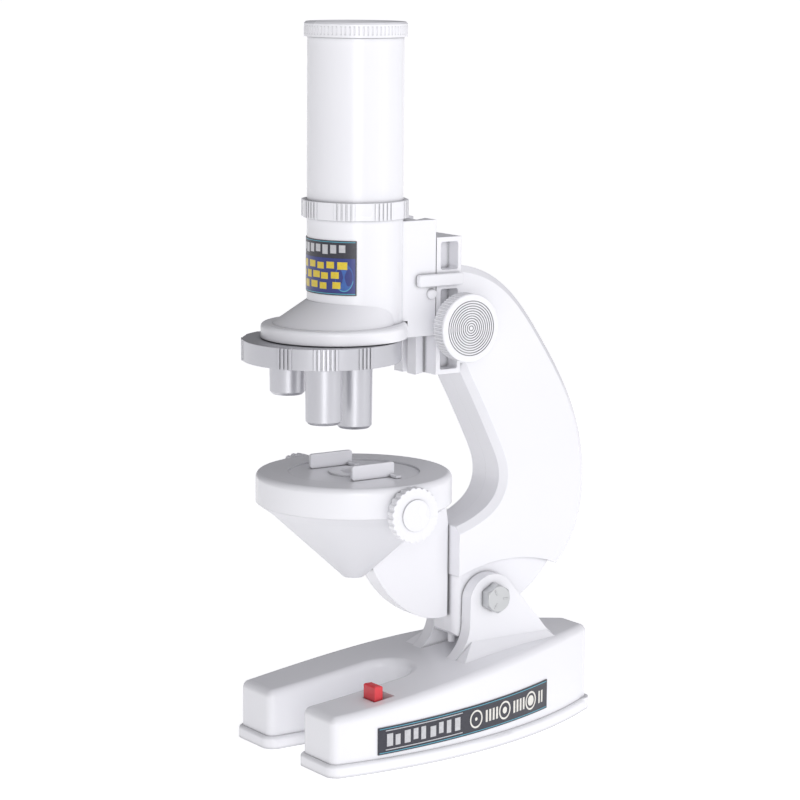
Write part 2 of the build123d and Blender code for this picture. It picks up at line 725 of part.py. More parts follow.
for side, sign in (("right", 1), ("left", -1)):
    with BuildPart() as stage_knob:
        with BuildSketch(Plane.YZ.offset(sign * STAGE_KNOB_IN)):
            with Locations((TUBE_Y, MIRROR_Z)):
                Circle(STAGE_KNOB_R)
                with PolarLocations(STAGE_KNOB_R + 0.3, STAGE_KNOB_SCALLOPS):
                    Circle(0.7, mode=Mode.SUBTRACT)
        extrude(amount=sign * (STAGE_KNOB_OUT - STAGE_KNOB_IN - 0.5))
        with BuildSketch(Plane.YZ.offset(sign * (STAGE_KNOB_OUT - 0.5))):
            with Locations((TUBE_Y, MIRROR_Z)):
                Circle(4.9)
        extrude(amount=sign * 0.5)
    save(stage_knob, f"stage_knob_{side}")

# ---------- focus drive ----------
with BuildPart() as focus_shaft:
    with BuildSketch(Plane.YZ.offset(-KNOB_IN - 1.0)):
        with Locations((PINION_Y, PINION_Z)):
            Circle(SHAFT_R)
    extrude(amount=2 * (KNOB_IN + 1.0))
    with BuildSketch(Plane.YZ.offset(-PINION_HALF)):
        with Locations((PINION_Y, PINION_Z)):
            Circle(PINION_R - 1.1 * MODULE)
            with PolarLocations(PINION_R - 0.2 * MODULE, PINION_TEETH):
                Rectangle(2.0 * MODULE, 1.0 * MODULE)
    extrude(amount=2 * PINION_HALF)
save(focus_shaft, "focus_shaft")

for side, sign in (("right", 1), ("left", -1)):
    with BuildPart() as focus_knob:
        with BuildSketch(Plane.YZ.offset(sign * KNOB_IN)):
            with Locations((PINION_Y, PINION_Z)):
                Circle(KNOB_R)
                with PolarLocations(KNOB_R + 0.05, KNOB_FLUTES):
                    Circle(0.4, mode=Mode.SUBTRACT)
        extrude(amount=sign * (KNOB_OUT - KNOB_IN - KNOB_LIP))
        with BuildSketch(Plane.YZ.offset(sign * (KNOB_OUT - KNOB_LIP))):
            with Locations((PINION_Y, PINION_Z)):
                Circle(KNOB_R)
        extrude(amount=sign * KNOB_LIP)
        fillet(focus_knob.faces().sort_by(Axis.X)[-1 if sign > 0 else 0].edges(), 0.4)
        with BuildSketch(Plane.YZ.offset(sign * (ARM_HALF + GAP))):
            with Locations((PINION_Y, PINION_Z)):
                Circle(4.2)
        extrude(amount=sign * (KNOB_IN - ARM_HALF - GAP))
        with BuildSketch(Plane.YZ.offset(sign * (ARM_HALF + GAP))):
            with Locations((PINION_Y, PINION_Z)):
                Circle(SHAFT_R)
        extrude(amount=sign * (KNOB_IN + 1.0 - ARM_HALF - GAP), mode=Mode.SUBTRACT)
        with BuildSketch(Plane.YZ.offset(sign * (KNOB_OUT - KNOB_GROOVE_T))):
            with Locations((PINION_Y, PINION_Z)):
                for ring in range(KNOB_RINGS, 0, -1):
                    Circle(KNOB_RING_PITCH * ring + KNOB_GROOVE_W / 2)
                    Circle(KNOB_RING_PITCH * ring - KNOB_GROOVE_W / 2, mode=Mode.SUBTRACT)
        extrude(amount=sign * KNOB_GROOVE_T, mode=Mode.SUBTRACT)
    save(focus_knob, f"focus_knob_{side}")

# ---------- carriage with the lower barrel ----------
with BuildPart() as lower_barrel:
    with BuildSketch(Plane.XY.offset(COVER_TOP)):
        with Locations((0, TUBE_Y)):
            Circle(BARREL_R)
    extrude(amount=BARREL_TOP - COVER_TOP)
    with BuildSketch(Plane.XY.offset(COVER_TOP)):
        with Locations((0, COVER_Y)):
            Circle(19.2)
    with BuildSketch(Plane.XY.offset(COVER_TOP + 7.0)):
        with Locations((0, TUBE_Y - 1.0)):
            Circle(14.2)
    loft()
    with BuildSketch(Plane.XY.offset(BLOCK_BOTTOM)):
        with Locations((0, (TUBE_Y + BLOCK_REAR_Y) / 2)):
            Rectangle(2 * ARM_HALF, BLOCK_REAR_Y - TUBE_Y)
    extrude(amount=BLOCK_TOP - BLOCK_BOTTOM)
    with BuildSketch(Plane.XY.offset(BLOCK_BOTTOM)):
        with Locations((0, COVER_Y)):
            Circle(COVER_R + GAP)
    extrude(amount=COVER_TOP - BLOCK_BOTTOM, mode=Mode.SUBTRACT)
    with BuildSketch(Plane.XY.offset(BLOCK_BOTTOM)):
        with Locations((0, TUBE_Y)):
            Circle(BARREL_BORE)
    extrude(amount=BARREL_TOP - BLOCK_BOTTOM, mode=Mode.SUBTRACT)
    with BuildSketch(Plane.XY.offset(BLOCK_BOTTOM)):
        with BuildLine():
            Polyline(
                (-RAIL_NECK - GAP, BLOCK_REAR_Y),
                (-RAIL_TIP - GAP, RAIL_FRONT_Y),
                (-RAIL_TIP - GAP, RAIL_FRONT_Y - GAP),
                (RAIL_TIP + GAP, RAIL_FRONT_Y - GAP),
                (RAIL_TIP + GAP, RAIL_FRONT_Y),
                (RAIL_NECK + GAP, BLOCK_REAR_Y),
                close=True,
            )
        make_face()
    extrude(amount=BLOCK_TOP - BLOCK_BOTTOM, mode=Mode.SUBTRACT)
    with BuildSketch(Plane.YZ.offset(ARM_HALF)):
        with Locations((-23.5, 144.8)):
            Circle(1.7)
    extrude(amount=1.4)
    fillet(lower_barrel.faces().filter_by(Axis.X).sort_by(Axis.X)[-1].edges(), 1.0)
save(lower_barrel, "lower_barrel")

with BuildPart() as nosepiece_cover:
    with BuildSketch(Plane.XY.offset(COVER_BOTTOM)):
        with Locations((0, COVER_Y)):
            Circle(COVER_R)
        with Locations((0, TUBE_Y)):
            Circle(6.0, mode=Mode.SUBTRACT)
        with Locations((0, TURRET_Y)):
            Circle(1.5, mode=Mode.SUBTRACT)
    extrude(amount=COVER_TOP - COVER_BOTTOM)
    cover_rim = nosepiece_cover.edges().filter_by(GeomType.CIRCLE).group_by(Axis.Z)[-1]
    fillet(cover_rim.sort_by(SortBy.RADIUS)[-1], 1.2)
save(nosepiece_cover, "nosepiece_cover")

with BuildPart() as rack:
    with BuildSketch(Plane.YZ.offset(-RACK_HALF)):
        with Locations(((RACK_FRONT_Y + RACK_ROOT_Y) / 2, (RACK_BOTTOM + RACK_TOP) / 2)):
            Rectangle(RACK_ROOT_Y - RACK_FRONT_Y, RACK_TOP - RACK_BOTTOM)
        for step in range(-1, 7):
            tooth_z = PINION_Z + (step + 0.5) * RACK_PITCH
            with Locations((RACK_PITCH_Y - 0.1 * MODULE, tooth_z)):
                Rectangle(2.2 * MODULE, 0.9 * MODULE)
    extrude(amount=2 * RACK_HALF)
save(rack, "rack")

with BuildPart() as barrel_label:
    with BuildSketch(Plane.XY.offset(BARREL_LABEL_Z)):
        with Locations((0, TUBE_Y)):
            Circle(BARREL_R + 0.25)
            Circle(BARREL_R, mode=Mode.SUBTRACT)
    extrude(amount=BARREL_LABEL_H)
    with BuildSketch(Plane.XY.offset(BARREL_LABEL_Z)):
        with BuildLine():
            Polyline(
                (0, TUBE_Y),
                (40 * cos(radians(-31.3)), TUBE_Y + 40 * sin(radians(-31.3))),
                (0, TUBE_Y - 60),
                (-40 * cos(radians(-31.3)), TUBE_Y + 40 * sin(radians(-31.3))),
                close=True,
            )
        make_face()
    extrude(amount=BARREL_LABEL_H, mode=Mode.INTERSECT)
save(barrel_label, "barrel_label")

# ---------- eyepiece ----------
with BuildPart() as tube_collar:
    with BuildSketch(Plane.XY.offset(TUBE_SEAT)):
        with Locations((0, TUBE_Y)):
            Circle(COLLAR_R - 0.3)
            for group in range(COLLAR_RIB_GROUPS):
                for rib in range(-2, 3):
                    with PolarLocations(COLLAR_R - 0.5, 1, start_angle=group * 45 + rib * 5):
                        Rectangle(1.0, 0.8)
            Circle(BARREL_R, mode=Mode.SUBTRACT)
    extrude(amount=COLLAR_TOP - TUBE_SEAT)
save(tube_collar, "tube_collar")

with BuildPart() as eyepiece_tube:
    with BuildSketch(Plane.XZ.offset(-TUBE_Y)):
        with BuildLine():
            Polyline(
                (TUBE_BORE - 2.0, BARREL_TOP - SPIGOT_L),
                (SPIGOT_R, BARREL_TOP - SPIGOT_L),
                (SPIGOT_R, TUBE_SEAT),
                (BARREL_R, TUBE_SEAT),
                (BARREL_R, TUBE_TOP - 0.1),
                (NECK_R, TUBE_TOP - 0.1),
                (NECK_R, NECK_TOP),
                (NECK_R - 1.8, NECK_TOP),
                (NECK_R - 1.8, TUBE_TOP - 2.0),
                (TUBE_BORE, TUBE_TOP - 4.0),
                (TUBE_BORE, BARREL_TOP + 3.0),
                (TUBE_BORE - 2.0, BARREL_TOP + 1.0),
                close=True,
            )
        make_face()
    revolve(axis=Axis((0, TUBE_Y, 0), (0, 0, 1)))
save(eyepiece_tube, "eyepiece_tube")

with BuildPart() as eyepiece_cap:
    with BuildSketch(Plane.XZ.offset(-TUBE_Y)):
        with BuildLine():
            Polyline(
                (5.0, CAP_TOP - 2.6),
                (9.0, CAP_TOP - 1.8),
                (13.6, CAP_TOP),
                (15.4, CAP_TOP),
                (CAP_R, CAP_TOP - 0.6),
                (CAP_R, TUBE_TOP),
                (NECK_R + RUN, TUBE_TOP),
                (NECK_R + RUN, NECK_TOP + 0.2),
                (5.0, NECK_TOP + 0.2),
                close=True,
            )
        make_face()
    revolve(axis=Axis((0, TUBE_Y, 0), (0, 0, 1)))
    with BuildSketch(Plane.XY.offset(TUBE_TOP + 0.8)):
        with Locations((0, TUBE_Y)):
            with PolarLocations(CAP_R + 0.1, CAP_RIBS):
                Circle(0.3)
    extrude(amount=2.6, mode=Mode.SUBTRACT)
save(eyepiece_cap, "eyepiece_cap")

with BuildPart() as eye_lens:
    with BuildSketch(Plane.XZ.offset(-TUBE_Y)):
        with BuildLine():
            Polyline(
                (0, CAP_TOP - 3.1), (5.0, CAP_TOP - 3.1), (5.0, CAP_TOP - 2.7),
                (3.6, CAP_TOP - 2.2), (1.6, CAP_TOP - 2.0), (0, CAP_TOP - 2.0),
                close=True,
            )
        make_face()
    revolve(axis=Axis((0, TUBE_Y, 0), (0, 0, 1)))
save(eye_lens, "eye_lens")

# ---------- turret ----------
with BuildPart() as turret_disc:
    with BuildSketch(Plane.XY.offset(TURRET_BOTTOM)):
        with Locations((0, TURRET_Y)):
            Circle(TURRET_R)
            for lens_angle, _ in OBJECTIVE_ENDS.values():
                for group, ribs in ((-30, 4), (0, 6), (30, 4)):
                    for rib in range(ribs):
                        angle = lens_angle + group + (rib - (ribs - 1) / 2) * 3.1
                        with PolarLocations(TURRET_R, 1, start_angle=angle):
                            Rectangle(2 * TURRET_RIB, 0.8)
            Circle(1.5, mode=Mode.SUBTRACT)
            for lens_angle, _ in OBJECTIVE_ENDS.values():
                with PolarLocations(OBJECTIVE_RING, 1, start_angle=lens_angle):
                    Circle(4.2, mode=Mode.SUBTRACT)
    extrude(amount=TURRET_TOP - TURRET_BOTTOM)
save(turret_disc, "turret_disc")

for name, (lens_angle, end_z) in OBJECTIVE_ENDS.items():
    lens_x = OBJECTIVE_RING * cos(radians(lens_angle))
    lens_y = TURRET_Y + OBJECTIVE_RING * sin(radians(lens_angle))
    lens_axis = Axis((lens_x, lens_y, 0), (0, 0, 1))
    with BuildPart() as objective:
        with BuildSketch(Plane.XZ.offset(-lens_y)):
            with BuildLine():
                Polyline(
                    (lens_x + 2.4, TURRET_BOTTOM),
                    (lens_x + OBJECTIVE_R, TURRET_BOTTOM),
                    (lens_x + OBJECTIVE_R - 0.15, end_z + 0.9),
                    (lens_x + OBJECTIVE_R - 1.0, end_z),
                    (lens_x + 2.4, end_z),
                    close=True,
                )
            make_face()
        revolve(axis=lens_axis)
    save(objective, f"objective_{name}")
    with BuildPart() as objective_lens:
        with BuildSketch(Plane.XY.offset(end_z + 0.8)):
            with Locations((lens_x, lens_y)):
                Circle(2.4)
        extrude(amount=1.2)
    save(objective_lens, f"objective_lens_{name}")

with BuildPart() as turret_screw:
    with BuildSketch(Plane.XY.offset(TURRET_BOTTOM - 1.2)):
        with Locations((0, TURRET_Y)):
            Circle(3.0)
            Rectangle(6.2, 0.7, mode=Mode.SUBTRACT)
    extrude(amount=1.2 - GAP)
    with BuildSketch(Plane.XY.offset(TURRET_BOTTOM - GAP - 0.6)):
        with Locations((0, TURRET_Y)):
            Circle(1.5 - RUN)
    extrude(amount=COVER_TOP - TURRET_BOTTOM + GAP + 0.6)
save(turret_screw, "turret_screw")
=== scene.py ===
import json
import math

import bmesh
import bpy
from mathutils import Matrix, Vector
from mathutils.bvhtree import BVHTree


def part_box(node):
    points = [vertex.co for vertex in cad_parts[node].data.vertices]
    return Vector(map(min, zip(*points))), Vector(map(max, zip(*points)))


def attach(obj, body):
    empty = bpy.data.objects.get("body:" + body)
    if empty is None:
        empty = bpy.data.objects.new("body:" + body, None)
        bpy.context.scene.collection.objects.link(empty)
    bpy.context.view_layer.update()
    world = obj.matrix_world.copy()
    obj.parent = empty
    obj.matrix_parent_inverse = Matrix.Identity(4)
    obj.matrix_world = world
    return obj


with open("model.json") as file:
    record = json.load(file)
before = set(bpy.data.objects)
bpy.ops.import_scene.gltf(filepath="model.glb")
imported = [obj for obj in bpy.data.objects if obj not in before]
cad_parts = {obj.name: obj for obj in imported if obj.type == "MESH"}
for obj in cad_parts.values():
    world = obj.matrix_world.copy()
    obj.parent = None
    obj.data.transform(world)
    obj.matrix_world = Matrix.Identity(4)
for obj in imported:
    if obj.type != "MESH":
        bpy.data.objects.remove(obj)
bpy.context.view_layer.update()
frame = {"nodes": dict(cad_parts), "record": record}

NODES = frame["nodes"]
AXIS_Y = (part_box("eyepiece_tube")[0].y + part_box("eyepiece_tube")[1].y) / 2

# ---------- camera ----------
CAMERA_AT = (0.712817, -0.515793, 0.253584)
CAMERA_RIGHT = (0.563249, 0.826254, 0.00737)
CAMERA_UP = (-0.140245, 0.086807, 0.986304)
CAMERA_BACK = (0.814298, -0.556569, 0.164772)
SENSOR_MM = 36.0
LENS_MM = 124.1
SHIFT_Y = 0.0032

camera_data = bpy.data.cameras.new("camera")
camera_data.sensor_width = SENSOR_MM
camera_data.lens = LENS_MM
camera_data.shift_y = SHIFT_Y
camera_data.clip_start = 0.01
camera_data.clip_end = 60.0
camera = bpy.data.objects.new("camera", camera_data)
bpy.context.scene.collection.objects.link(camera)
turn = Matrix((CAMERA_RIGHT, CAMERA_UP, CAMERA_BACK)).transposed().to_4x4()
camera.matrix_world = Matrix.Translation(CAMERA_AT) @ turn
bpy.context.scene.camera = camera


# ---------- node helpers ----------
class Nodes:
    """Adds nodes to one material and links them."""

    def __init__(self, material):
        material.use_nodes = True
        self.tree = material.node_tree
        self.tree.nodes.clear()
        self.out = self.add("ShaderNodeOutputMaterial")
        self.coords = self.add("ShaderNodeTexCoord").outputs["Object"]

    def add(self, kind, **settings):
        node = self.tree.nodes.new(kind)
        for name, value in settings.items():
            setattr(node, name, value)
        return node

    def link(self, source, target):
        self.tree.links.new(source, target)

    def noise(self, scale, detail=3.0, rough=0.55, stretch=None):
        node = self.add("ShaderNodeTexNoise")
        node.inputs["Scale"].default_value = scale
        node.inputs["Detail"].default_value = detail
        node.inputs["Roughness"].default_value = rough
        vector = self.coords
        if stretch:
            mapping = self.add("ShaderNodeMapping")
            mapping.inputs["Scale"].default_value = stretch
            self.link(self.coords, mapping.inputs["Vector"])
            vector = mapping.outputs["Vector"]
        self.link(vector, node.inputs["Vector"])
        return node.outputs["Fac"]

    def range(self, value, low, high, from_low=0.3, from_high=0.7):
        node = self.add("ShaderNodeMapRange")
        self.link(value, node.inputs["Value"])
        node.inputs["From Min"].default_value = from_low
        node.inputs["From Max"].default_value = from_high
        node.inputs["To Min"].default_value = low
        node.inputs["To Max"].default_value = high
        return node.outputs["Result"]

    def ramp(self, value, stops):
        node = self.add("ShaderNodeValToRGB")
        elements = node.color_ramp.elements
        while len(elements) < len(stops):
            elements.new(0.5)
        for element, (place, color) in zip(elements, stops):
            element.position = place
            element.color = (*color, 1.0)
        self.link(value, node.inputs["Fac"])
        return node.outputs["Color"]

    def bump(self, height, strength, distance, normal=None):
        node = self.add("ShaderNodeBump")
        node.inputs["Strength"].default_value = strength
        node.inputs["Distance"].default_value = distance
        self.link(height, node.inputs["Height"])
        if normal:
            self.link(normal, node.inputs["Normal"])
        return node.outputs["Normal"]

    def rounded(self, radius):
        node = self.add("ShaderNodeBevel", samples=6)
        node.inputs["Radius"].default_value = radius
        return node.outputs["Normal"]

    def painted_crevice_shade(self, color, shade, reach=0.0016):
        """Painted shade: colour with a darker tone where surfaces close in on each other, by ambient
        occlusion.
        """
        occlusion = self.add("ShaderNodeAmbientOcclusion", samples=6)
        occlusion.inputs["Distance"].default_value = reach
        mix = self.add("ShaderNodeMixRGB")
        self.link(self.range(occlusion.outputs["AO"], 0.0, 1.0, 0.3, 0.85), mix.inputs["Fac"])
        mix.inputs["Color1"].default_value = (*shade, 1.0)
        self.link(color, mix.inputs["Color2"])
        return mix.outputs["Color"]

    def principled(self, **values):
        node = self.add("ShaderNodeBsdfPrincipled")
        for name, value in values.items():
            node.inputs[name.replace("_", " ")].default_value = value
        self.link(node.outputs["BSDF"], self.out.inputs["Surface"])
        return node


# noise scales are in features per metre
FLOW_SCALE = 14.0
HANDLED_SCALE = 30.0
PEEL_SCALE = 180.0
PORE_SCALE = 2200.0
TONE_SCALE = 40.0
STREAK_SCALE = 1500.0
# painted crevice shade: shade colour as a share of each look's dark tone
MOULDED_PAINTED_SHADE = 0.42
METAL_PAINTED_SHADE = 0.45


def moulded(name, light, dark, roughness, edge=0.0003, peel=0.5, **values):
    """Glossy moulded plastic: faint flow marks, orange peel, handled patches and painted shade in
    crevices.
    """
    material = bpy.data.materials.new(name)
    n = Nodes(material)
    shader = n.principled(**values)
    flow = n.ramp(n.noise(FLOW_SCALE, 2.0), ((0.2, dark), (0.8, light)))
    # painted shade: the base colour darkens in crevices
    n.link(n.painted_crevice_shade(flow, [MOULDED_PAINTED_SHADE * channel for channel in dark]), shader.inputs["Base Color"])
    handled = n.noise(HANDLED_SCALE, 3.0, 0.5)
    n.link(n.range(handled, roughness * 0.9, roughness * 1.15, 0.15, 0.85), shader.inputs["Roughness"])
    normal = n.rounded(edge)
    normal = n.bump(n.noise(PEEL_SCALE, 1.0), peel * 0.16, 0.00004, normal)
    normal = n.bump(n.noise(PORE_SCALE, 2.0), peel * 0.12, 0.00002, normal)
    n.link(normal, shader.inputs["Normal"])
    return material


def metal(name, light, dark, roughness, stretch, edge=0.0003, metallic=1.0, grain=0.08):
    """Plated or painted metal look with fine directional streaks and painted shade in crevices."""
    material = bpy.data.materials.new(name)
    n = Nodes(material)
    shader = n.principled(Metallic=metallic)
    tone = n.ramp(n.noise(TONE_SCALE, 2.0), ((0.2, dark), (0.8, light)))
    # painted shade: the base colour darkens in crevices
    n.link(n.painted_crevice_shade(tone, [METAL_PAINTED_SHADE * channel for channel in dark]), shader.inputs["Base Color"])
    streaks = n.noise(STREAK_SCALE, 3.0, 0.6, stretch=stretch)
    n.link(n.range(streaks, roughness * 0.94, roughness * 1.08), shader.inputs["Roughness"])
    normal = n.bump(streaks, grain, 0.00002, n.rounded(edge))
    n.link(normal, shader.inputs["Normal"])
    return material


def film(name, light, dark, roughness):
    """Printed label film with a fine print grain."""
    material = bpy.data.materials.new(name)
    n = Nodes(material)
    shader = n.principled(Coat_Weight=0.35, Coat_Roughness=0.25)
    grain = n.noise(1400.0, 4.0, 0.7)
    n.link(n.ramp(grain, ((0.35, dark), (0.7, light))), shader.inputs["Base Color"])
    n.link(n.range(n.noise(180.0, 4.0), roughness * 0.85, roughness * 1.2), shader.inputs["Roughness"])
    n.link(n.bump(n.noise(60.0, 3.0), 0.25, 0.0002), shader.inputs["Normal"])
    return material


def clear(name, tint, roughness=0.03):
    """Clear glass with faint smears."""
    material = bpy.data.materials.new(name)
    n = Nodes(material)
    shader = n.principled(Transmission_Weight=0.9, IOR=1.5)
    shader.inputs["Base Color"].default_value = (*tint, 1.0)
    n.link(n.range(n.noise(150.0, 4.0), roughness, roughness * 3), shader.inputs["Roughness"])
    n.link(n.bump(n.noise(300.0), 0.05, 0.00002), shader.inputs["Normal"])
    return material


# ---------- materials ----------
LOOKS = {
    "white_plastic": moulded(
        "white moulding", (0.900, 0.900, 0.925), (0.875, 0.873, 0.905), 0.24, IOR=1.5),
    "silver_plastic": metal(
        "silver paint", (0.60, 0.60, 0.63), (0.56, 0.56, 0.59), 0.34, (1.0, 1.0, 1.0),
        metallic=0.8, grain=0.03),
    "frosted_plastic": moulded(
        "frosted moulding", (0.74, 0.74, 0.765), (0.70, 0.70, 0.73), 0.42, peel=0.9),
    "red_plastic": moulded(
        "red moulding", (0.80, 0.050, 0.065), (0.72, 0.040, 0.055), 0.26, edge=0.0003),
    "dark_plastic": moulded(
        "dark moulding", (0.030, 0.030, 0.034), (0.020, 0.020, 0.023), 0.45),
    "label_film": film("label film", (0.030, 0.030, 0.045), (0.018, 0.018, 0.030), 0.42),
    "steel": metal(
        "zinc plate", (0.66, 0.67, 0.67), (0.50, 0.51, 0.52), 0.30, (0.3, 1.0, 1.0), grain=0.3),
    "battery_can": moulded(
        "battery wrap", (0.050, 0.130, 0.330), (0.040, 0.100, 0.280), 0.3),
    "lens_glass": clear("lens glass", (0.93, 0.96, 1.0)),
    "lamp_glass": clear("lamp glass", (1.0, 0.98, 0.90)),
    "mirror_glass": metal(
        "mirror glass", (0.93, 0.93, 0.95), (0.90, 0.90, 0.92), 0.04, (1.0, 1.0, 1.0), edge=0.0002),
}
for row in frame["record"]["subparts"]:
    node = NODES[row["node"]]
    node.data.materials.clear()
    node.data.materials.append(LOOKS[row["material_slot"]])

KNOB_LOOK = moulded(
    "knob moulding", (0.900, 0.900, 0.925), (0.875, 0.873, 0.905), 0.26, edge=0.00008, IOR=1.5)
RIBBED = (
    "focus_knob_right", "focus_knob_left", "stage_knob_right", "stage_knob_left",
    "eyepiece_cap", "tube_collar")
for name in RIBBED:
    NODES[name].data.materials[0] = KNOB_LOOK


# ---------- printed marks on the two labels ----------
def print_look(name, color, metallic=0.0):
    """Screen-printed ink: slight mottling and a thin gloss."""
    material = bpy.data.materials.new(name)
    n = Nodes(material)
    shader = n.principled(Metallic=metallic, Coat_Weight=0.3, Coat_Roughness=0.2)
    dark = tuple(channel * 0.82 for channel in color)
    n.link(n.ramp(n.noise(800.0, 4.0, 0.7), ((0.3, dark), (0.65, color))), shader.inputs["Base Color"])
    n.link(n.range(n.noise(300.0, 3.0), 0.3, 0.42), shader.inputs["Roughness"])
    n.link(n.bump(n.noise(1800.0, 2.0), 0.1, 0.00001), shader.inputs["Normal"])
    return material


INKS = {
    "silver": print_look("silver ink", (0.62, 0.62, 0.64), 0.5),
    "white": print_look("white ink", (0.86, 0.84, 0.78)),
    "yellow": print_look("yellow ink", (0.80, 0.60, 0.03)),
    "navy": print_look("navy ink", (0.020, 0.035, 0.22)),
    "blue": print_look("blue ink", (0.03, 0.12, 0.42)),
    "cyan": print_look("cyan ink", (0.10, 0.42, 0.55)),
}


def print_marks(name, body, ink, strips, surface, height):
    """Thin raised ink: quads between a lower and an upper edge, laid on a label."""
    bm = bmesh.new()
    for lower, upper in strips:
        rows = []
        for (u0, v0), (u1, v1) in zip(lower, upper):
            rows.append([
                bm.verts.new(surface(u0, v0, 0.0)), bm.verts.new(surface(u0, v0, height)),
                bm.verts.new(surface(u1, v1, height)), bm.verts.new(surface(u1, v1, 0.0))])
        for a, b in zip(rows, rows[1:]):
            for i in range(4):
                bm.faces.new((a[i], b[i], b[(i + 1) % 4], a[(i + 1) % 4]))
        bm.faces.new(rows[0])
        bm.faces.new(list(reversed(rows[-1])))
    bmesh.ops.recalc_face_normals(bm, faces=bm.faces)
    mesh = bpy.data.meshes.new(name)
    bm.to_mesh(mesh)
    bm.free()
    mesh.materials.append(INKS[ink])
    piece = bpy.data.objects.new(name, mesh)
    bpy.context.scene.collection.objects.link(piece)
    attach(piece, body)


def strip(left, low, right, high, steps=2):
    """Straight bar as a lower and an upper edge."""
    us = [left + (right - left) * i / steps for i in range(steps + 1)]
    return [(u, low) for u in us], [(u, high) for u in us]


def ring(u, v, outer, inner, start=0.0, end=360.0, steps=40):
    """Ring or arc as an inner and an outer edge."""
    turns = [math.radians(start + (end - start) * i / steps) for i in range(steps + 1)]
    return ([(u + inner * math.cos(t), v + inner * math.sin(t)) for t in turns],
            [(u + outer * math.cos(t), v + outer * math.sin(t)) for t in turns])


def label_tree(node):
    """Search tree over a label's faces."""
    mesh = NODES[node].data
    return BVHTree.FromPolygons([v.co for v in mesh.vertices], [tuple(f.vertices) for f in mesh.polygons])


# the base's label
SIDE_TREE = label_tree("base_label")
SIDE_Y0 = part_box("base_label")[0].y
SIDE_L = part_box("base_label")[1].y - SIDE_Y0
SIDE_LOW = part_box("base_label")[0].z
SIDE_HIGH_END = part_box("base_label")[1].z
SIDE_FRONT_H = 0.0086
SIDE_REAR_H = 0.0096
SIDE_HIGH = SIDE_LOW + SIDE_FRONT_H
SIDE_LOW_END = SIDE_HIGH_END - SIDE_REAR_H
SIDE_U = 70.0
SIDE_V = 8.0
END_MARGIN = 0.0001
INK_CLEAR_MM = 0.02
OUTSIDE = 0.06


def side_surface(u, v, lift):
    """u runs 0 to SIDE_U along the label and v 0 to SIDE_V up it, in millimetres."""
    share = u / SIDE_U
    y = SIDE_Y0 + share * SIDE_L
    low = SIDE_LOW + (SIDE_LOW_END - SIDE_LOW) * share
    high = SIDE_HIGH + (SIDE_HIGH_END - SIDE_HIGH) * share
    z = low + (high - low) * v / SIDE_V
    y = min(max(y, SIDE_Y0 + END_MARGIN), SIDE_Y0 + SIDE_L - END_MARGIN)
    hit, normal, _, _ = SIDE_TREE.ray_cast(Vector((OUTSIDE, y, z)), Vector((-1.0, 0.0, 0.0)))
    return hit + normal * (lift + INK_CLEAR_MM) / 1000.0


INK_T = 0.05
BLOCK_LEFTS = (3.0, 6.0, 9.2, 12.4, 15.2, 18.6, 21.8, 24.8, 28.0)
RAISED_BLOCKS = (3, 6)
WIDE_BLOCKS = (0, 2, 5, 8)
SHORT_BLOCKS = (1, 5)
print_marks("side_print_blocks", "base", "silver", [
    strip(
        left, 2.7 if i in RAISED_BLOCKS else 2.2,
        left + (2.1 if i in WIDE_BLOCKS else 1.7), 5.3 if i in SHORT_BLOCKS else 5.9)
    for i, left in enumerate(BLOCK_LEFTS)], side_surface, INK_T)
print_marks("side_print_line", "base", "silver", [
    strip(2.6, 1.1, 31.0, 1.35, 12), strip(2.6, 6.75, 31.0, 7.0, 12)], side_surface, INK_T)
RING_US = (36.6, 49.0, 61.4)
RING_V = SIDE_V / 2
DOT_RADII = (0.5, 0.95, 1.45)
DOT_HOLE = 0.02
print_marks("side_print_rings", "base", "white", [
    ring(u, RING_V, 2.6, 2.1) for u in RING_US], side_surface, INK_T)
print_marks("side_print_dots", "base", "white", [
    ring(u, RING_V, radius, DOT_HOLE) for u, radius in zip(RING_US, DOT_RADII)], side_surface, INK_T)
print_marks("side_print_ticks", "base", "white", [
    strip(start + step * 1.5, 2.3, start + step * 1.5 + 0.8, 5.7)
    for start in (40.6, 53.0) for step in range(4)] + [
    strip(65.4 + step * 1.4, 2.3, 66.1 + step * 1.4, 5.7) for step in range(2)], side_surface, INK_T)
print_marks("side_print_edge", "base", "cyan", [
    strip(0.5, 0.35, 69.5, 0.55, 40), strip(0.5, 7.45, 69.5, 7.65, 40)], side_surface, INK_T)

# the barrel's label: u in degrees round the tube from the front, v in millimetres up
LABEL_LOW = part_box("barrel_label")[0].z
LABEL_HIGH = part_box("barrel_label")[1].z
LABEL_R = -(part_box("barrel_label")[0].y - AXIS_Y)
LABEL_H = (LABEL_HIGH - LABEL_LOW) * 1000.0


def barrel_surface(u, v, lift):
    """Point on the barrel's label."""
    turn_to = math.radians(u - 90.0)
    reach = LABEL_R + lift / 1000.0 + 0.00002
    return Vector((
        reach * math.cos(turn_to), AXIS_Y + reach * math.sin(turn_to), LABEL_LOW + v / 1000.0))


GLOW_RIGHT = 44.0
GLOW_LEFT = -36.0
DEGREES_A_MM = 2.6


def disc_surface(u, v, lift):
    """Barrel surface with u in degrees at a disc's centre and in millimetres away from it."""
    centre = GLOW_RIGHT if u > 10 else GLOW_LEFT
    return barrel_surface(centre + (u - centre) * DEGREES_A_MM, v, lift)


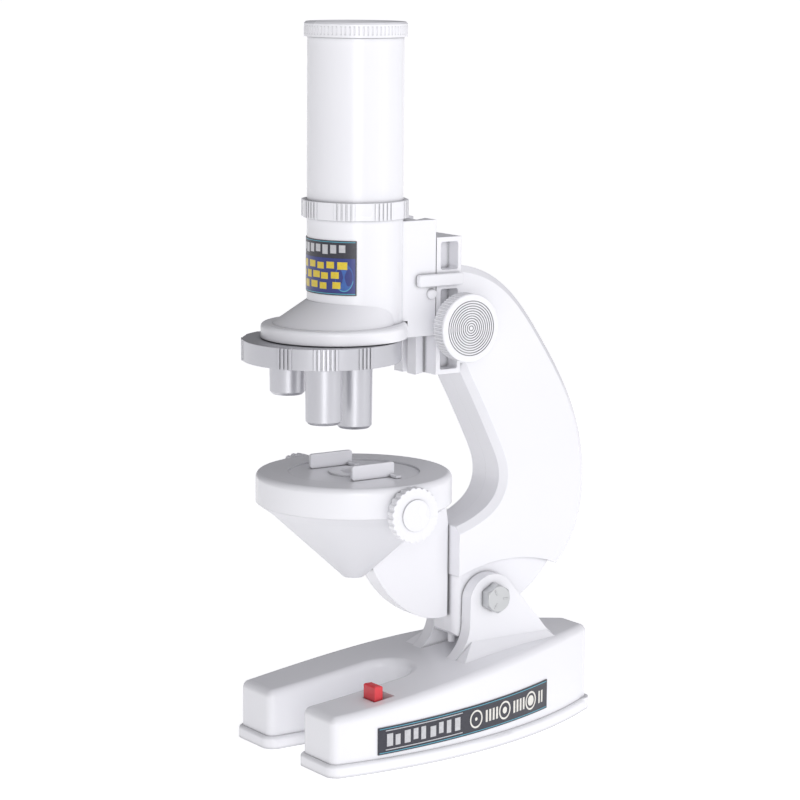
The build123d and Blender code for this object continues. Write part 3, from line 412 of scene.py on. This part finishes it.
print_marks("barrel_print_panel", "carriage", "navy", [
    strip(-57.2, 0.7, 57.2, LABEL_H - 5.4, 60)], barrel_surface, 0.03)
print_marks("barrel_print_glow", "carriage", "blue", [
    ring(GLOW_RIGHT, 5.6, 4.2, 0.05, steps=48), ring(GLOW_LEFT, 3.6, 2.8, 0.05)], disc_surface, 0.045)
print_marks("barrel_print_silver", "carriage", "silver", [
    strip(-50.0 + step * 11.0, LABEL_H - 4.2 + 0.3 * (step % 3), -42.4 + step * 11.0, LABEL_H - 1.3, 5)
    for step in range(9)], barrel_surface, 0.05)
YELLOW_ROWS = (
    (8.0, (-50, -37, -24, -8, 8, 22, 36)),
    (4.9, (-46, -30, -14, 0, 14, 28)),
    (1.8, (-48, -33, -20, -4, 12, 30)),
)
print_marks("barrel_print_yellow", "carriage", "yellow", [
    strip(left, low + 0.25 * (i % 2), left + 10.0 + 2.0 * (i % 3 == 0), low + 2.3 - 0.3 * (i % 3 == 1), 5)
    for low, lefts in YELLOW_ROWS for i, left in enumerate(lefts)], barrel_surface, 0.06)
print_marks("barrel_print_edge", "carriage", "cyan", [
    strip(-57.4, 0.35, 57.4, 0.6, 60), strip(-57.4, LABEL_H - 0.5, 57.4, LABEL_H - 0.3, 60)],
    barrel_surface, 0.05)
print_marks("barrel_print_arc", "carriage", "cyan", [
    ring(GLOW_RIGHT, 5.6, 4.4, 4.15, 200, 345, 30)], disc_surface, 0.055)

# ---------- floor, lights, world ----------
FLOOR_HALF = 30.0
floor_mesh = bpy.data.meshes.new("floor")
floor_mesh.from_pydata(
    [(-FLOOR_HALF, -FLOOR_HALF, 0), (FLOOR_HALF, -FLOOR_HALF, 0),
     (FLOOR_HALF, FLOOR_HALF, 0), (-FLOOR_HALF, FLOOR_HALF, 0)], [], [(0, 1, 2, 3)])
floor = bpy.data.objects.new("floor", floor_mesh)
bpy.context.scene.collection.objects.link(floor)
floor_look = bpy.data.materials.new("floor")
floor_nodes = Nodes(floor_look)
floor_nodes.principled(
    Base_Color=(0.86, 0.86, 0.87, 1.0), Roughness=0.9,
    Emission_Color=(1.0, 1.0, 1.0, 1.0), Emission_Strength=0.64)
floor_mesh.materials.append(floor_look)

KEY_FROM = Vector((0.80, 0.36, 0.48)).normalized()
SKY_DIM = 0.22
SKY_BRIGHT = 0.78
world = bpy.data.worlds.new("studio")
bpy.context.scene.world = world
world.use_nodes = True
tree = world.node_tree
background = tree.nodes["Background"]
direction = tree.nodes.new("ShaderNodeTexCoord").outputs["Generated"]
facing = tree.nodes.new("ShaderNodeVectorMath")
facing.operation = "DOT_PRODUCT"
facing.inputs[1].default_value = KEY_FROM
tree.links.new(direction, facing.inputs[0])
glow = tree.nodes.new("ShaderNodeMapRange")
glow.interpolation_type = "SMOOTHSTEP"
glow.inputs["From Min"].default_value = -0.1
glow.inputs["From Max"].default_value = 0.95
glow.inputs["To Min"].default_value = SKY_DIM
glow.inputs["To Max"].default_value = SKY_BRIGHT
tree.links.new(facing.outputs["Value"], glow.inputs["Value"])
background.inputs["Color"].default_value = (0.965, 0.96, 1.0, 1.0)
tree.links.new(glow.outputs["Result"], background.inputs["Strength"])


def softbox(name, place, target, width, height, power):
    """Rectangular studio light, aimed at a point."""
    light = bpy.data.lights.new(name, "AREA")
    light.shape = "RECTANGLE"
    light.size = width
    light.size_y = height
    light.energy = power
    lamp = bpy.data.objects.new(name, light)
    bpy.context.scene.collection.objects.link(lamp)
    lamp.visible_camera = False
    lamp.location = place
    aim = Vector(target) - Vector(place)
    lamp.rotation_euler = aim.to_track_quat("-Z", "Y").to_euler()


MIDDLE = (0.0, 0.0, 0.11)
softbox("strip right", (1.1, 0.75, 0.35), MIDDLE, 0.5, 1.0, 1.2)
softbox("camera side", (1.05, -0.62, 0.30), MIDDLE, 0.42, 0.6, 3.0)

bpy.context.scene.view_settings.view_transform = "Standard"
bpy.context.scene.view_settings.look = "None"
